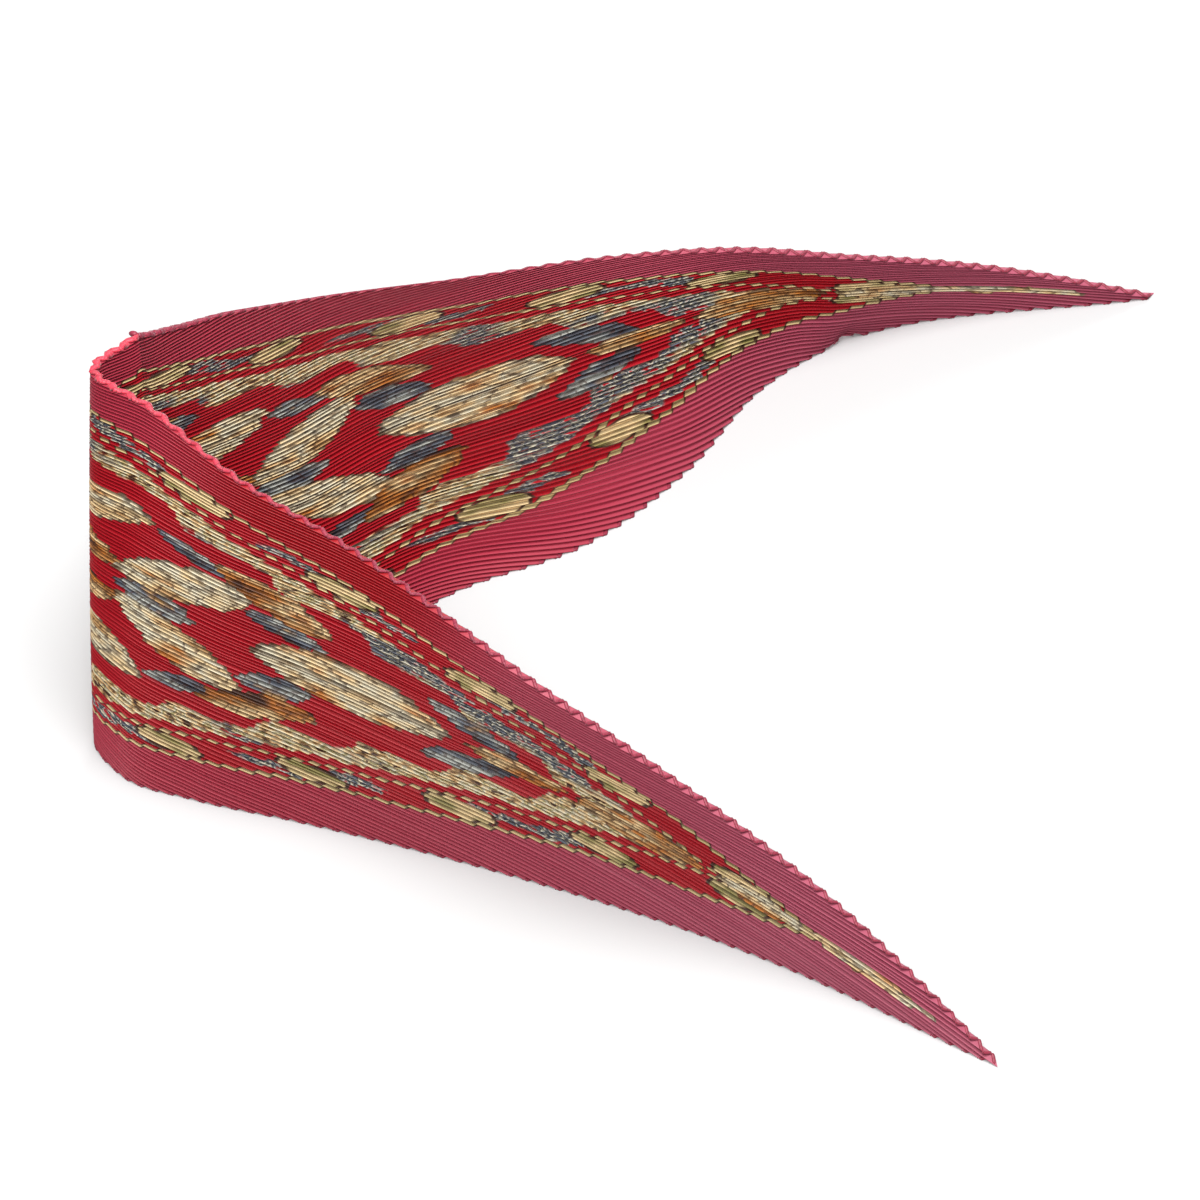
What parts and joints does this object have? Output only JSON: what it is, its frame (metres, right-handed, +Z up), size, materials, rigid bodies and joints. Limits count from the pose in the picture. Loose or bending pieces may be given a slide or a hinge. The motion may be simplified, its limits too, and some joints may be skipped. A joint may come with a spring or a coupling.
{
  "type": "silk scarf",
  "caption": "Square silk scarf with fine heat-set pleats along one diagonal, closed to a pointed lozenge and standing on its lower edges in a bend.",
  "frame": {"origin": "on the surface the scarf stands on, under the middle of its bounding box", "axes": "+Z up; +X from the bend towards the two points; +Y from the near arm towards the far arm"},
  "size_m": [0.5951, 0.5522, 0.2408],
  "materials": {
    "silk_panel": "pleated silk twill, printed, deep red with a soft sheen",
    "rolled_hem": "hand-rolled silk hem, bright pink-red with a soft sheen"
  },
  "bodies": {
    "root": {"near_arm": "silk_panel", "bend": "silk_panel", "far_arm": "silk_panel", "hem_near_top": "rolled_hem", "hem_near_bottom": "rolled_hem", "hem_far_top": "rolled_hem", "hem_far_bottom": "rolled_hem"}
  },
  "joints": []
}
